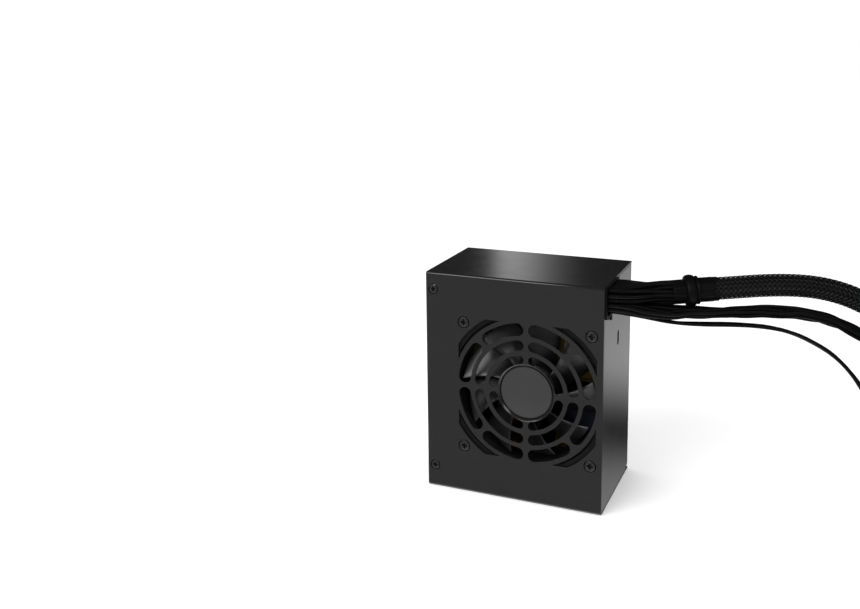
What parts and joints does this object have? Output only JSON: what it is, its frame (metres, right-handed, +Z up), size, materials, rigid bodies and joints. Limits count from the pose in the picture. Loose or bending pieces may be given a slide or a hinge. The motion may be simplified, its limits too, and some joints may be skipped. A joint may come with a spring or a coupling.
{
  "type": "power supply unit",
  "caption": "Compact computer power supply in a black steel box, with a grilled fan face, mains inlet and rocker switch, and output cables ending in plugs.",
  "frame": {"origin": "middle of the narrow side that the case stands on, at the ground", "axes": "+X towards the wall that the output cables leave, +Y from the fan face to the back panel, +Z up along the case's long side"},
  "size_m": [0.3677, 0.1244, 0.1293],
  "materials": {
    "painted_steel": "satin black powder paint",
    "badge": "satin dark grey",
    "black_screw": "black zinc",
    "black_plastic": "fine matt",
    "rocker_plastic": "semi gloss",
    "black_rubber": "matt",
    "contact_metal": "bright nickel plate",
    "shaft_steel": "ground",
    "bronze": "sintered bronze",
    "ferrite": "dark grey ceramic",
    "copper": "enamelled copper wire",
    "board": "green solder mask",
    "insulator": "translucent white sheet",
    "capacitor_sleeve": "shrunk sleeve",
    "film_yellow": "moulded case",
    "winding_tape": "polyester tape",
    "aluminium": "as extruded",
    "wire_cover": "soft black wire insulation",
    "sleeve": "black braided sleeve over the wires",
    "plug_plastic": "moulded black"
  },
  "bodies": {
    "case": {"fan_cover": "painted_steel", "base_tray": "painted_steel", "hub_badge": "badge", "fan_screw_1": "black_screw", "fan_screw_2": "black_screw", "fan_screw_3": "black_screw", "fan_screw_4": "black_screw", "cover_screw_1": "black_screw", "cover_screw_2": "black_screw", "fan_frame": "black_plastic", "fan_bearing": "bronze", "fan_stator": "ferrite", "fan_coil_1": "copper", "fan_coil_2": "copper", "fan_coil_3": "copper", "fan_coil_4": "copper", "fan_header": "insulator", "fan_lead": "wire_cover", "inlet_socket": "black_plastic", "inlet_pin_line": "contact_metal", "inlet_pin_neutral": "contact_metal", "inlet_pin_earth": "contact_metal", "inlet_screw_1": "black_screw", "inlet_screw_2": "black_screw", "switch_housing": "black_plastic", "main_board": "board", "insulating_sheet": "insulator", "board_screw_1": "contact_metal", "board_screw_2": "contact_metal", "board_screw_3": "contact_metal", "board_screw_4": "contact_metal", "film_capacitor": "film_yellow", "filter_choke": "copper", "fuse": "contact_metal", "bridge_rectifier": "plug_plastic", "pfc_choke": "winding_tape", "bulk_capacitor": "capacitor_sleeve", "main_transformer": "winding_tape", "standby_transformer": "winding_tape", "primary_heatsink": "aluminium", "secondary_heatsink": "aluminium", "power_transistor_1": "plug_plastic", "power_transistor_2": "plug_plastic", "output_choke": "copper", "output_capacitor": "capacitor_sleeve", "wire_loom": "wire_cover", "cable_grommet": "black_rubber", "cable_collar": "black_rubber", "atx_cable": "sleeve", "cpu_cable": "wire_cover", "pcie_cable": "wire_cover", "drive_cable": "wire_cover", "atx_plug": "plug_plastic", "cpu_plug": "plug_plastic", "pcie_plug": "plug_plastic", "drive_plug": "plug_plastic"},
    "fan": {"fan_rotor": "black_plastic", "fan_magnet": "ferrite", "fan_shaft": "shaft_steel"},
    "rocker": {"switch_rocker": "rocker_plastic"}
  },
  "joints": [
    {"name": "fan_spin", "type": "hinge", "parent": "case", "child": "fan", "pos_m": [0.0078, -0.02315, 0.06265], "axis": [0, 1, 0], "continuous": true},
    {"name": "mains_switch", "type": "hinge", "parent": "case", "child": "rocker", "pos_m": [-0.05, 0, 0.048], "axis": [0, 0, 1], "range_deg": [0, 18]}
  ]
}
